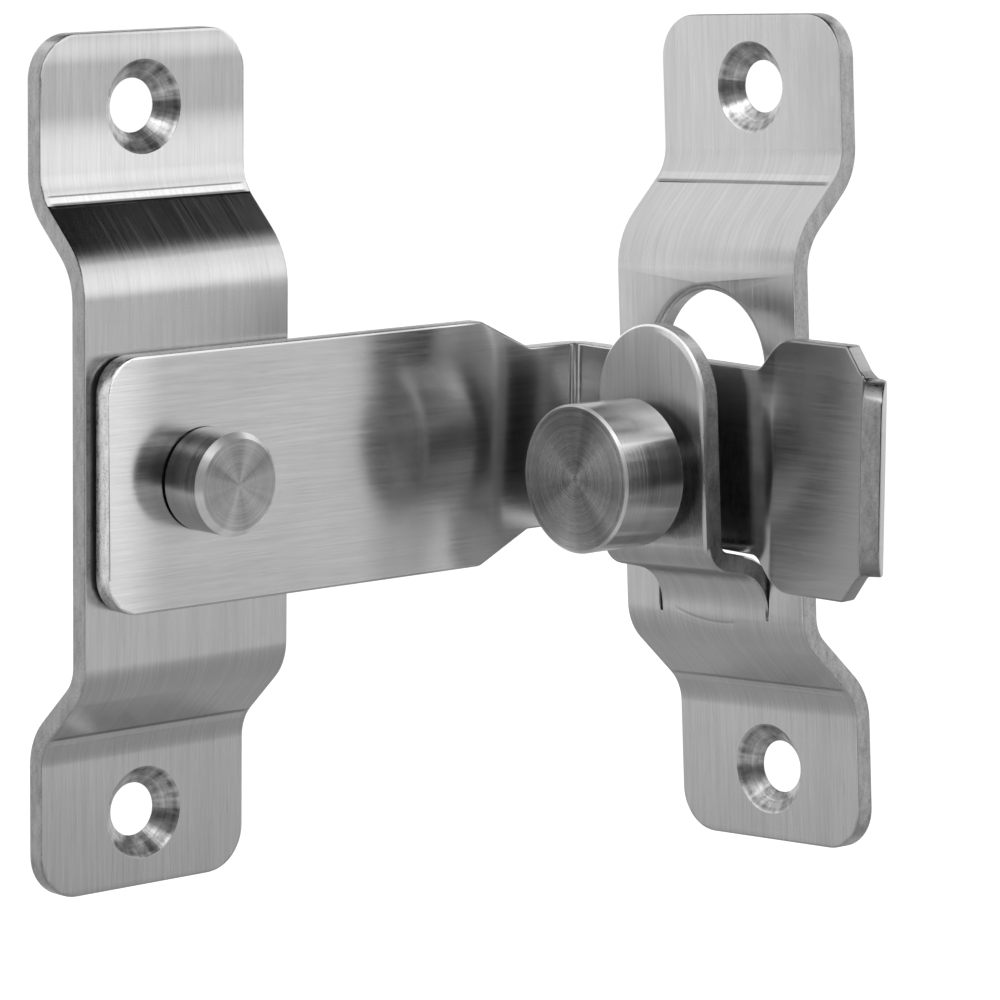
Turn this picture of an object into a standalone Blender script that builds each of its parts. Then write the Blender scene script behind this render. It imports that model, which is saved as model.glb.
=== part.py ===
"""Barn door latch: a flip arm on one strap bracket that drops behind the tongue
of a second strap bracket, which stands at right angles to the first.

Frame: metres. X runs from the pivot towards the keeper, -Y points out of the
arm bracket's face, Z is up. The origin is the middle of the arm bracket's back.
Every sheet part starts as a flat blank, is pierced flat, and is then folded.
"""
import math

import bmesh
import bpy
from mathutils import Matrix, Vector

MM = 0.001

# Sheet stock shared by both brackets and the arm
SHEET = 2.4 * MM
EDGE_BREAK = 0.25 * MM          # rounded rim left by tumbling the blanks
ARC_STEP = math.radians(7.5)    # facet angle on outlines
BEND_STEPS = 7                  # facets across one bend

# Running and seating clearances
RUN_GAP = 0.5 * MM              # arm to the arm bracket's face
SEAT_GAP = 0.3 * MM             # one piece lying on another
BORE_GAP = 0.3 * MM             # radial, shank in its hole

# Strap brackets (both are the same blank apart from the raised height)
STRAP_WIDTH = 30.0 * MM
STRAP_HEIGHT = 100.0 * MM
STRAP_CORNER = 5.2 * MM
EAR_LENGTH = 18.0 * MM          # strap end to the joggle's inner corner
JOGGLE_ANGLE = math.radians(46.0)
CREASE_RADIUS = 5.2 * MM        # inside radius where the ear turns outwards
UPPER_CREST_RADIUS = 7.0 * MM   # inside radius where it turns into the raised part
LOWER_CREST_RADIUS = 4.0 * MM
ARM_BRACKET_RAISE = 8.1 * MM
KEEPER_RAISE = 8.6 * MM

# Screw holes, countersunk through the whole sheet
HOLE_INSET = 8.7 * MM           # strap end to the hole's middle
HOLE_DIAMETER = 6.3 * MM
SINK_DIAMETER = 11.0 * MM
SINK_LAND = 0.1 * MM

# Latch arm
ARM_TAIL = 13.9 * MM            # end of the arm behind the pivot
ARM_WIDTH = 29.6 * MM
ARM_CORNER = 4.4 * MM
ARM_AXIS_Z = -0.5 * MM          # pivot below the bracket's mid height
TAPER_START = 42.8 * MM
TAPER_END = 50.6 * MM
NECK_WIDTH = 22.1 * MM
FOLD_FACE_X = 58.2 * MM         # front face of the folded leg
FOLD_RADIUS = 1.1 * MM          # inside radius of the fold
FLARE_START = 44.5 * MM
FLARE_END = 47.9 * MM
FLARE_CORNER = 3.4 * MM
TAB_WIDTH = 30.0 * MM
KICK_START = 47.0 * MM
KICK_ANGLE = math.radians(6.0)
TAB_CHAMFER_START = 57.6 * MM
TAB_CHAMFER_END = 59.5 * MM
TAB_CHAMFER_WIDTH = 24.4 * MM
LIP_WIDTH = 22.8 * MM
LIP_BEND = 61.3 * MM
LIP_ANGLE = math.radians(60.0)
LIP_RADIUS = 1.0 * MM
LIP_LENGTH = 4.9 * MM
LIP_CORNER = 3.6 * MM

# Pivot pin
PIN_HEAD_DIAMETER = 12.0 * MM
PIN_HEAD_HEIGHT = 6.0 * MM
PIN_HEAD_CHAMFER = 0.7 * MM
PIN_SHOULDER_DIAMETER = 7.4 * MM
PIN_SHANK_DIAMETER = 5.4 * MM
PIN_TAIL_DIAMETER = 8.4 * MM
PIN_TAIL_HEIGHT = 1.6 * MM

# Keeper: where it stands and its lanced tongue
KEEPER_MID_Y = -31.9 * MM
KEEPER_MID_Z = 0.75 * MM
KEEPER_TILT = math.radians(3.6)  # turned in its own plane, foot outwards
SWING_GAP = 2.5 * MM             # folded leg to the tongue's back
TONGUE_WIDTH = 18.0 * MM
TONGUE_TOP = 14.2 * MM           # above the keeper's middle
TONGUE_STAND = 9.4 * MM          # tongue face in front of the keeper's face
TONGUE_SLOPE = math.radians(77.0)
TONGUE_ROOT_RADIUS = 4.8 * MM
TONGUE_HOOK_RADIUS = 1.0 * MM
WINDOW_TOP = 17.6 * MM
LANCE_KERF = 0.2 * MM
LANCE_RELIEF = 1.0 * MM          # slit runs on below the tongue's bend
DIE_ROLL = 0.9 * MM              # drawn-in rim round the window
DIE_ROLL_DEPTH = 0.55 * MM
DIE_ROLL_RUN_OUT = 6.0 * MM

# Lock knob and its stud
KNOB_AXIS_Z = -3.0 * MM          # below the keeper's middle
KNOB_DIAMETER = 17.6 * MM
KNOB_LENGTH = 9.3 * MM
KNOB_CHAMFER = 0.3 * MM
KNOB_STAND = 3.4 * MM            # knob's back in front of the tongue
STUD_DIAMETER = 6.0 * MM
STUD_CHAMFER = 0.5 * MM
STUD_IN_KNOB = 5.0 * MM
ROUND_SEGMENTS = 72


def clear_scene():
    for obj in list(bpy.data.objects):
        bpy.data.objects.remove(obj, do_unlink=True)


def steel(name, colour, roughness):
    material = bpy.data.materials.new(name)
    material.use_nodes = True
    shader = material.node_tree.nodes["Principled BSDF"]
    shader.inputs["Base Color"].default_value = (*colour, 1.0)
    shader.inputs["Metallic"].default_value = 1.0
    shader.inputs["Roughness"].default_value = roughness
    material.diffuse_color = (*colour, 1.0)
    return material


def make_object(name, bm, material=None):
    bmesh.ops.recalc_face_normals(bm, faces=bm.faces[:])
    mesh = bpy.data.meshes.new(name)
    bm.to_mesh(mesh)
    bm.free()
    obj = bpy.data.objects.new(name, mesh)
    bpy.context.scene.collection.objects.link(obj)
    if material is not None:
        mesh.materials.append(material)
    return obj


def smooth(obj):
    obj.data.polygons.foreach_set("use_smooth", [True] * len(obj.data.polygons))
    obj.data.set_sharp_from_angle(angle=math.radians(28.0))


def rounded_outline(corners):
    """Points of a closed outline from (x, y, radius) corners."""
    points = []
    count = len(corners)
    for index, (x, y, radius) in enumerate(corners):
        here = Vector((x, y))
        before = (here - Vector(corners[index - 1][:2])).normalized()
        after = (Vector(corners[(index + 1) % count][:2]) - here).normalized()
        turn = math.atan2(before.cross(after), before.dot(after))
        if radius == 0.0 or abs(turn) < 1e-4:
            points.append(here)
            continue
        reach = radius * math.tan(abs(turn) / 2.0)
        start = here - before * reach
        side = math.copysign(1.0, turn)
        centre = start + Vector((-before.y, before.x)) * (radius * side)
        steps = max(2, math.ceil(abs(turn) / ARC_STEP))
        for step in range(steps + 1):
            spoke = Matrix.Rotation(turn * step / steps, 2) @ (start - centre)
            points.append(centre + spoke)
    return points


class FoldLine:
    """Middle line of a folded sheet, with the sheet's front on its right."""

    def __init__(self, corners, steps=BEND_STEPS):
        # corners: (a, b, bend radius of the middle line)
        self.stations = []
        points = [Vector(corner[:2]) for corner in corners]
        travelled = 0.0
        last = points[0]
        heading = (points[1] - points[0]).normalized()
        self._add(travelled, last, heading)
        for index in range(1, len(points) - 1):
            onward = (points[index + 1] - points[index]).normalized()
            turn = math.atan2(heading.cross(onward), heading.dot(onward))
            radius = corners[index][2]
            reach = radius * math.tan(abs(turn) / 2.0)
            start = points[index] - heading * reach
            travelled += (start - last).length
            self._add(travelled, start, heading)
            side = math.copysign(1.0, turn)
            centre = start + Vector((-heading.y, heading.x)) * (radius * side)
            for step in range(1, steps + 1):
                rotation = Matrix.Rotation(turn * step / steps, 2)
                here = centre + rotation @ (start - centre)
                travelled += radius * abs(turn) / steps
                self._add(travelled, here, rotation @ heading)
            last = here
            heading = onward
        travelled += (points[-1] - last).length
        self._add(travelled, points[-1], heading)

    def _add(self, travelled, point, heading):
        front = Vector((heading.y, -heading.x))
        self.stations.append([travelled, point.copy(), front])

    def length_at(self, axis, value):
        """Developed length where the line first crosses a coordinate."""
        for (u0, p0, _), (u1, p1, _) in zip(self.stations, self.stations[1:]):
            low, high = sorted((p0[axis], p1[axis]))
            if high - low > 1e-9 and low - 1e-9 <= value <= high + 1e-9:
                return u0 + (u1 - u0) * (value - p0[axis]) / (p1[axis] - p0[axis])
        raise ValueError("the line does not reach %g" % value)

    def shift(self, amount):
        for station in self.stations:
            station[0] += amount

    def place(self, u, depth):
        """Point of the folded sheet at developed length u, depth off the middle."""
        pairs = list(zip(self.stations, self.stations[1:]))
        for (u0, p0, n0), (u1, p1, n1) in pairs:
            if u <= u1 or (u1, p1) == (pairs[-1][1][0], pairs[-1][1][1]):
                k = (u - u0) / (u1 - u0)
                return p0.lerp(p1, k) + (n0 * (1.0 - k) + n1 * k) * depth
        return None


def flat_blank(outline, thickness):
    """Solid blank, back face at z = 0, with its rims broken."""
    bm = bmesh.new()
    face = bm.faces.new([bm.verts.new((p.x, p.y, 0.0)) for p in outline])
    grown = bmesh.ops.extrude_face_region(bm, geom=[face])
    lifted = [v for v in grown["geom"] if isinstance(v, bmesh.types.BMVert)]
    bmesh.ops.translate(bm, verts=lifted, vec=(0.0, 0.0, thickness))
    bmesh.ops.recalc_face_normals(bm, faces=bm.faces[:])
    rims = [e for e in bm.edges if abs(e.verts[0].co.z - e.verts[1].co.z) < 1e-7]
    bmesh.ops.bevel(bm, geom=rims, offset=EDGE_BREAK, segments=2, profile=0.5,
                    affect="EDGES")
    return bm


def layered_cutter(layers):
    """Closed solid through equal loops of points, given bottom to top."""
    bm = bmesh.new()
    rings = [[bm.verts.new(point) for point in layer] for layer in layers]
    count = len(rings[0])
    for lower, upper in zip(rings, rings[1:]):
        for i in range(count):
            j = (i + 1) % count
            bm.faces.new((lower[i], lower[j], upper[j], upper[i]))
    bm.faces.new(list(reversed(rings[0])))
    bm.faces.new(rings[-1])
    return bm


def turned(profile, segments=ROUND_SEGMENTS):
    """Solid of revolution about Z from (radius, height) points, bottom to top."""
    bm = bmesh.new()
    verts = [bm.verts.new((radius, 0.0, height)) for radius, height in profile]
    edges = [bm.edges.new(pair) for pair in zip(verts, verts[1:])]
    bmesh.ops.spin(bm, geom=verts + edges, cent=(0.0, 0.0, 0.0), axis=(0.0, 0.0, 1.0),
                   angle=2.0 * math.pi, steps=segments, use_merge=True)
    bmesh.ops.remove_doubles(bm, verts=bm.verts[:], dist=1e-7)
    bmesh.ops.recalc_face_normals(bm, faces=bm.faces[:])
    return bm


def screw_hole_cutter(centre_u):
    sink_slope = ((SINK_DIAMETER - HOLE_DIAMETER) / 2.0) / (SHEET - SINK_LAND)
    over = 0.5 * MM
    hole = HOLE_DIAMETER / 2.0
    bm = turned([(0.0, -over), (hole, -over), (hole, SINK_LAND),
                 (SINK_DIAMETER / 2.0 + sink_slope * over, SHEET + over),
                 (0.0, SHEET + over)])
    bmesh.ops.translate(bm, verts=bm.verts[:], vec=(centre_u, 0.0, 0.0))
    return bm


def round_cutter(centre_u, diameter):
    over = 0.5 * MM
    bm = turned([(0.0, -over), (diameter / 2.0, -over),
                 (diameter / 2.0, SHEET + over), (0.0, SHEET + over)])
    bmesh.ops.translate(bm, verts=bm.verts[:], vec=(centre_u, 0.0, 0.0))
    return bm


def pierce(blank, cutters):
    """The blank's mesh after an exact cut with each cutter."""
    obj = make_object("blank", blank)
    tools = []
    for index, cutter in enumerate(cutters):
        tool = make_object("punch_%d" % index, cutter)
        tool.hide_render = True
        tool.display_type = "WIRE"
        cut = obj.modifiers.new("Pierce %d" % index, "BOOLEAN")
        cut.operation = "DIFFERENCE"
        cut.solver = "EXACT"
        cut.object = tool
        tools.append(tool)
    graph = bpy.context.evaluated_depsgraph_get()
    bm = bmesh.new()
    bm.from_mesh(obj.evaluated_get(graph).to_mesh())
    for spare in tools + [obj]:
        bpy.data.objects.remove(spare, do_unlink=True)
    bmesh.ops.remove_doubles(bm, verts=bm.verts[:], dist=2e-7)
    return bm


def score(bm, positions, faces=None):
    """Cut edges across the blank at each developed length."""
    for u in positions:
        chosen = [f for f in (faces(bm) if faces else bm.faces)]
        geom = set(chosen)
        for face in chosen:
            geom.update(face.edges)
            geom.update(face.verts)
        bmesh.ops.bisect_plane(bm, geom=list(geom), dist=1e-7,
                               plane_co=(u, 0.0, 0.0), plane_no=(1.0, 0.0, 0.0))


def fold(bm, line):
    for vert in bm.verts:
        a, b = line.place(vert.co.x, vert.co.z - SHEET / 2.0)
        vert.co = Vector((a, b, vert.co.y))


def strap_line(rise):
    """Hat-shaped middle line of a strap, (height, depth behind the front)."""
    lift = SHEET / 2.0
    inner = (SHEET / 2.0) * math.tan(JOGGLE_ANGLE / 2.0)
    half = STRAP_HEIGHT / 2.0
    crease = half - EAR_LENGTH - inner
    step = crease - rise / math.tan(JOGGLE_ANGLE)
    at_crease = CREASE_RADIUS + lift
    line = FoldLine([(-half, -lift, 0.0), (-crease, -lift, at_crease),
                     (-step, -lift - rise, LOWER_CREST_RADIUS + lift),
                     (step, -lift - rise, UPPER_CREST_RADIUS + lift),
                     (crease, -lift, at_crease), (half, -lift, 0.0)])
    line.shift(-line.length_at(0, 0.0))
    return line


def strap_blank(line):
    low = line.stations[0][0]
    high = line.stations[-1][0]
    side = STRAP_WIDTH / 2.0
    return flat_blank(rounded_outline([(low, -side, STRAP_CORNER),
                                       (high, -side, STRAP_CORNER),
                                       (high, side, STRAP_CORNER),
                                       (low, side, STRAP_CORNER)]), SHEET)


def strap_screw_holes(line):
    offset = STRAP_HEIGHT / 2.0 - HOLE_INSET
    return [screw_hole_cutter(line.length_at(0, side * offset))
            for side in (-1.0, 1.0)]


def build_arm_bracket():
    line = strap_line(ARM_BRACKET_RAISE)
    cutters = strap_screw_holes(line)
    cutters.append(round_cutter(ARM_AXIS_Z, PIN_SHANK_DIAMETER + 2.0 * BORE_GAP))
    bm = pierce(strap_blank(line), cutters)
    score(bm, [station[0] for station in line.stations[1:-1]])
    fold(bm, line)
    # folded frame (height, depth, width) into X right, Y back, Z up
    to_world = Matrix(((0.0, 0.0, -1.0), (0.0, 1.0, 0.0), (1.0, 0.0, 0.0))).to_4x4()
    bmesh.ops.transform(bm, matrix=to_world, verts=bm.verts[:])
    return make_object("arm_bracket", bm, steel("bracket_steel", (0.60, 0.60, 0.60), 0.34))


def keeper_back_x():
    tongue_back = FOLD_FACE_X - SWING_GAP
    return tongue_back - SHEET + TONGUE_STAND + KEEPER_RAISE + SHEET


def keeper_matrix():
    """Folded frame (height, depth, width) of the keeper into the world."""
    up = Vector((0.0, math.sin(KEEPER_TILT), math.cos(KEEPER_TILT)))
    back = Vector((1.0, 0.0, 0.0))
    across = up.cross(back)
    axes = Matrix((up, back, across)).transposed().to_4x4()
    origin = Vector((keeper_back_x(), KEEPER_MID_Y, KEEPER_MID_Z))
    return Matrix.Translation(origin) @ axes


def hook_floor():
    """Height of the hook floor, in the keeper's frame, under the folded leg."""
    leg_bottom = (ARM_AXIS_Z - NECK_WIDTH / 2.0 - KEEPER_MID_Z) * math.cos(KEEPER_TILT)
    slant = TONGUE_WIDTH / 2.0 * math.sin(KEEPER_TILT)
    return leg_bottom - slant - SEAT_GAP


def tongue_line():
    """Middle line of the tongue: out along a slope, then straight up."""
    face = -SHEET / 2.0 - KEEPER_RAISE
    # the sloping run's upper side passes the hook floor at the leg's front face
    leg_front = SHEET + SWING_GAP
    out = TONGUE_STAND + SHEET / 2.0 - leg_front
    corner = (hook_floor() - (SHEET / 2.0) / math.sin(TONGUE_SLOPE)
              - out / math.tan(TONGUE_SLOPE))
    root_radius = TONGUE_ROOT_RADIUS + SHEET / 2.0
    root = corner - root_radius * math.tan(TONGUE_SLOPE / 2.0)
    rise = TONGUE_STAND / math.tan(TONGUE_SLOPE)
    line = FoldLine([(root - 1.0 * MM, face, 0.0), (corner, face, root_radius),
                     (corner + rise, face - TONGUE_STAND, TONGUE_HOOK_RADIUS + SHEET / 2.0),
                     (TONGUE_TOP, face - TONGUE_STAND, 0.0)])
    # the sheet stretches in the bends until the tongue's tip meets the window's
    line.shift(root - 1.0 * MM)
    bends_end = line.stations[-2][0]
    spare = line.stations[-1][0] - (WINDOW_TOP - LANCE_KERF)
    shrink = (bends_end - root - spare) / (bends_end - root)
    for station in line.stations:
        if station[0] > bends_end - 1e-9:
            station[0] -= spare
        elif station[0] > root:
            station[0] = root + (station[0] - root) * shrink
    return line, root


def lance_cutter(root):
    """U-shaped slit that frees the tongue and leaves the window's drawn-in rim."""
    over = 0.6 * MM
    low = root - LANCE_RELIEF
    inner_radius = TONGUE_WIDTH / 2.0
    centre = WINDOW_TOP - LANCE_KERF - inner_radius
    arc_steps = 36
    side_steps = 6

    def arch(offset, run_out):
        points = []
        sides = [low + (centre - low) * i / side_steps for i in range(side_steps)]
        for u in sides:
            fade = min(1.0, (u - low) / run_out) if run_out else 1.0
            points.append((u, inner_radius + offset * fade))
        for i in range(arc_steps + 1):
            angle = math.pi * i / arc_steps
            radius = inner_radius + offset
            points.append((centre + radius * math.sin(angle), radius * math.cos(angle)))
        points += [(u, -v) for u, v in reversed(points[:side_steps])]
        return points

    def loop(height, roll, shrink):
        outer = arch(LANCE_KERF, 0.0)
        flared = arch(LANCE_KERF + roll, DIE_ROLL_RUN_OUT) if roll else outer
        # the flared rim fades to the plain slit at its lower ends
        outer = [(u, math.copysign(max(abs(v), abs(w)), v)) if abs(v) > 1e-9 else (u, v)
                 for (u, v), (_, w) in zip(flared, outer)]
        inner = arch(-shrink, 0.0)
        return [(u, v, height) for u, v in outer + list(reversed(inner))]

    rim = EDGE_BREAK
    depth = DIE_ROLL_DEPTH
    return layered_cutter([
        loop(-over, 0.0, rim + over), loop(rim, 0.0, 0.0),
        loop(SHEET - depth, 0.0, 0.0), loop(SHEET - rim, DIE_ROLL * 0.35, 0.0),
        loop(SHEET, DIE_ROLL, rim), loop(SHEET + over, DIE_ROLL + over * 1.6, rim + over)])


def on_tongue(u, v, root):
    reach = TONGUE_WIDTH / 2.0 + LANCE_KERF / 2.0
    centre = WINDOW_TOP - LANCE_KERF - TONGUE_WIDTH / 2.0
    if u <= root + 1e-8 or abs(v) > reach:
        return False
    return u <= centre or math.hypot(u - centre, v) < reach


def build_keeper_bracket():
    strap = strap_line(KEEPER_RAISE)
    tongue, root = tongue_line()
    cutters = strap_screw_holes(strap)
    cutters.append(lance_cutter(root))
    cutters.append(round_cutter(tongue.length_at(0, KNOB_AXIS_Z),
                                STUD_DIAMETER + 2.0 * BORE_GAP))
    bm = pierce(strap_blank(strap), cutters)
    score(bm, [root])

    def tongue_faces(bm):
        return [f for f in bm.faces
                if on_tongue(f.calc_center_median().x, f.calc_center_median().y, root)]

    score(bm, [s[0] for s in tongue.stations if s[0] > root + 1e-7][:-1], tongue_faces)
    score(bm, [station[0] for station in strap.stations[1:-1]],
          lambda bm: [f for f in bm.faces if f not in set(tongue_faces(bm))])
    for vert in bm.verts:
        line = tongue if on_tongue(vert.co.x, vert.co.y, root) else strap
        a, b = line.place(vert.co.x, vert.co.z - SHEET / 2.0)
        vert.co = Vector((a, b, vert.co.y))
    bmesh.ops.transform(bm, matrix=keeper_matrix(), verts=bm.verts[:])
    return make_object("keeper_bracket", bm, steel("keeper_steel", (0.60, 0.60, 0.60), 0.34))


def arm_back_y():
    return -(ARM_BRACKET_RAISE + SHEET + RUN_GAP)


def build_latch_arm():
    middle = arm_back_y() - SHEET / 2.0
    leg = FOLD_FACE_X + SHEET / 2.0
    tab_run = LIP_BEND - KICK_START
    lip_x = leg + tab_run * math.sin(KICK_ANGLE)
    lip_y = -KICK_START - tab_run * math.cos(KICK_ANGLE)
    heading = -math.pi / 2.0 + KICK_ANGLE - LIP_ANGLE
    half = SHEET / 2.0
    line = FoldLine([(-ARM_TAIL, middle, 0.0),
                     (leg, middle, FOLD_RADIUS + half),
                     (leg, -KICK_START, 8.0 * MM),
                     (lip_x, lip_y, LIP_RADIUS + half),
                     (lip_x + LIP_LENGTH * math.cos(heading),
                      lip_y + LIP_LENGTH * math.sin(heading), 0.0)])
    line.shift(-ARM_TAIL)
    end = line.stations[-1][0]
    upper = [(-ARM_TAIL, ARM_WIDTH / 2.0, ARM_CORNER),
             (TAPER_START, ARM_WIDTH / 2.0, 1.5 * MM),
             (TAPER_END, NECK_WIDTH / 2.0, 0.8 * MM),
             (line.length_at(1, -FLARE_START), NECK_WIDTH / 2.0, 1.6 * MM),
             (line.length_at(1, -FLARE_END), TAB_WIDTH / 2.0, FLARE_CORNER),
             (line.length_at(1, -TAB_CHAMFER_START), TAB_WIDTH / 2.0, 0.6 * MM),
             (line.length_at(1, -TAB_CHAMFER_END), TAB_CHAMFER_WIDTH / 2.0, 0.3 * MM),
             (line.length_at(1, -TAB_CHAMFER_END - 0.9 * MM), LIP_WIDTH / 2.0, 0.5 * MM),
             (end, LIP_WIDTH / 2.0, LIP_CORNER)]
    lower = [(u, -v, radius) for u, v, radius in upper]
    outline = rounded_outline(lower + list(reversed(upper)))
    bm = pierce(flat_blank(outline, SHEET),
                [round_cutter(0.0, PIN_SHOULDER_DIAMETER + 2.0 * BORE_GAP)])
    score(bm, [station[0] for station in line.stations[1:-1]])
    fold(bm, line)
    origin = Vector((0.0, middle, ARM_AXIS_Z))
    bmesh.ops.translate(bm, verts=bm.verts[:], vec=(0.0, -middle, 0.0))
    arm = make_object("latch_arm", bm, steel("arm_steel", (0.58, 0.58, 0.58), 0.30))
    arm.location = origin
    return arm


def build_pivot_pin():
    """Turned pin, riveted over behind the bracket. Heights run out from the wall."""
    back = ARM_BRACKET_RAISE
    front = -arm_back_y() + SHEET
    head = PIN_HEAD_DIAMETER / 2.0
    tail = PIN_TAIL_DIAMETER / 2.0
    shank = PIN_SHANK_DIAMETER / 2.0
    shoulder = PIN_SHOULDER_DIAMETER / 2.0
    seat = back - SEAT_GAP
    top = front + SEAT_GAP + PIN_HEAD_HEIGHT
    profile = [(0.0, seat - PIN_TAIL_HEIGHT)]
    steps = 6
    for step in range(1, steps + 1):
        angle = math.pi / 2.0 * step / steps
        profile.append((tail * math.sin(angle),
                        seat - PIN_TAIL_HEIGHT * (0.25 + 0.75 * math.cos(angle))))
    profile += [(tail, seat), (shank, seat),
                (shank, back + SHEET + SEAT_GAP),
                (shoulder, back + SHEET + SEAT_GAP),
                (shoulder, front + SEAT_GAP),
                (head, front + SEAT_GAP),
                (head, top - PIN_HEAD_CHAMFER),
                (head - PIN_HEAD_CHAMFER, top),
                (0.35 * MM, top), (0.0, top - 0.2 * MM)]
    bm = turned(profile)
    bmesh.ops.rotate(bm, verts=bm.verts[:], cent=(0.0, 0.0, 0.0),
                     matrix=Matrix.Rotation(math.pi / 2.0, 3, "X"))
    pin = make_object("pivot_pin", bm, steel("pin_steel", (0.62, 0.62, 0.62), 0.26))
    pin.location = (0.0, 0.0, ARM_AXIS_Z)
    return pin


def knob_axis_point():
    """Point on the knob's axis at the tongue's front face."""
    out = -(KEEPER_RAISE + SHEET + TONGUE_STAND)
    return keeper_matrix() @ Vector((KNOB_AXIS_Z, out, 0.0))


def towards_pivot(bm):
    """Turn a piece made along +Z so that it points along -X."""
    bmesh.ops.rotate(bm, verts=bm.verts[:], cent=(0.0, 0.0, 0.0),
                     matrix=Matrix.Rotation(-math.pi / 2.0, 3, "Y"))


def build_lock_knob():
    radius = KNOB_DIAMETER / 2.0
    low = KNOB_STAND
    high = KNOB_STAND + KNOB_LENGTH
    bore = STUD_DIAMETER / 2.0 + BORE_GAP
    bore_end = low + STUD_IN_KNOB + SEAT_GAP
    profile = [(0.0, bore_end), (bore, bore_end), (bore, low),
               (radius - KNOB_CHAMFER * 0.5, low), (radius, low + KNOB_CHAMFER * 0.5),
               (radius, high - KNOB_CHAMFER), (radius - KNOB_CHAMFER, high),
               (0.5 * MM, high), (0.0, high - 0.25 * MM)]
    bm = turned(profile, 96)
    towards_pivot(bm)
    knob = make_object("lock_knob", bm, steel("knob_steel", (0.62, 0.62, 0.62), 0.25))
    knob.location = knob_axis_point()
    return knob


def build_knob_stud():
    """Threaded stud of the knob, its tip level with the tongue's back."""
    radius = STUD_DIAMETER / 2.0
    low = -SHEET
    high = KNOB_STAND + STUD_IN_KNOB
    bm = turned([(0.0, low), (radius - STUD_CHAMFER, low), (radius, low + STUD_CHAMFER),
                 (radius, high - STUD_CHAMFER), (radius - STUD_CHAMFER, high), (0.0, high)])
    towards_pivot(bm)
    stud = make_object("knob_stud", bm, steel("stud_steel", (0.55, 0.55, 0.55), 0.35))
    stud.location = knob_axis_point()
    return stud


clear_scene()
for build in (build_arm_bracket, build_latch_arm, build_pivot_pin,
              build_keeper_bracket, build_lock_knob, build_knob_stud):
    smooth(build())
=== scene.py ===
import math

import bmesh
import bpy
from mathutils import Matrix, Vector


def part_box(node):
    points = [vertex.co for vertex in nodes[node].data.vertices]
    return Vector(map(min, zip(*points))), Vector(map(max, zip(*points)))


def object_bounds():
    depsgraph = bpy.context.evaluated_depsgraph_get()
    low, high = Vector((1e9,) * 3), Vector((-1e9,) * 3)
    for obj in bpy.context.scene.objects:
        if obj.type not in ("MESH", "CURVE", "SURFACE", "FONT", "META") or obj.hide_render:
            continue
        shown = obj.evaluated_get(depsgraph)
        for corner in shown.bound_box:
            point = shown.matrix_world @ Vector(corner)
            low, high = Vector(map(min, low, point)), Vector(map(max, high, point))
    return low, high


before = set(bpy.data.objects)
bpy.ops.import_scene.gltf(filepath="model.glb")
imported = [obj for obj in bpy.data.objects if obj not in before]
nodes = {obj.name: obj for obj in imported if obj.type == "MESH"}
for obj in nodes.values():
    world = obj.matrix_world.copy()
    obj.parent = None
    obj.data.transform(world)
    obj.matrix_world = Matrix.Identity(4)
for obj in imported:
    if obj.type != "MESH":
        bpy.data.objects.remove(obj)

cad_low, cad_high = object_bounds()
scene = bpy.context.scene
MM = 0.001

# Where the turned pieces have their axes, read from the frame
pin_low, pin_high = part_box("pivot_pin")
PIN_AXIS = Vector(((pin_low.x + pin_high.x) / 2, 0.0, (pin_low.z + pin_high.z) / 2))
knob_low, knob_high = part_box("lock_knob")
KNOB_AXIS = Vector((0.0, (knob_low.y + knob_high.y) / 2, (knob_low.z + knob_high.z) / 2))


class Shader:
    """Shorthand for laying out nodes in one tree."""

    def __init__(self, tree):
        self.tree = tree
        self.x = -200

    def node(self, kind, **settings):
        made = self.tree.nodes.new("ShaderNode" + kind)
        made.location = (self.x, 0)
        self.x -= 40
        for key, value in settings.items():
            setattr(made, key, value)
        return made

    def put(self, socket, value):
        if isinstance(value, bpy.types.NodeSocket):
            self.tree.links.new(value, socket)
        else:
            socket.default_value = value

    def math(self, operation, a, b=0.0, c=None, clamp=False):
        made = self.node("Math", operation=operation, use_clamp=clamp)
        self.put(made.inputs[0], a)
        self.put(made.inputs[1], b)
        if c is not None:
            self.put(made.inputs[2], c)
        return made.outputs[0]

    def vector(self, operation, a, b=(0.0, 0.0, 0.0)):
        made = self.node("VectorMath", operation=operation)
        self.put(made.inputs[0], a)
        self.put(made.inputs[1], b)
        return made.outputs["Value" if operation in {"LENGTH", "DOT_PRODUCT"} else "Vector"]

    def ramp(self, value, low, high, out_low=0.0, out_high=1.0):
        made = self.node("MapRange", clamp=True, interpolation_type="SMOOTHSTEP")
        for socket, given in zip(made.inputs[:5], (value, low, high, out_low, out_high)):
            self.put(socket, given)
        return made.outputs["Result"]

    def noise(self, vector, scale, detail=3.0, roughness=0.6, distortion=0.0):
        made = self.node("TexNoise", noise_dimensions="3D")
        self.put(made.inputs["Vector"], vector)
        made.inputs["Scale"].default_value = scale
        made.inputs["Detail"].default_value = detail
        made.inputs["Roughness"].default_value = roughness
        made.inputs["Distortion"].default_value = distortion
        return made.outputs["Fac"]

def group(name, inputs, outputs):
    """Empty node group with its sockets, ready to be filled."""
    tree = bpy.data.node_groups.new(name, "ShaderNodeTree")
    for label, kind in inputs:
        tree.interface.new_socket(label, in_out="INPUT", socket_type="NodeSocket" + kind)
    for label, kind in outputs:
        tree.interface.new_socket(label, in_out="OUTPUT", socket_type="NodeSocket" + kind)
    sh = Shader(tree)
    source = tree.nodes.new("NodeGroupInput")
    sink = tree.nodes.new("NodeGroupOutput")
    return tree, sh, source.outputs, sink.inputs


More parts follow.
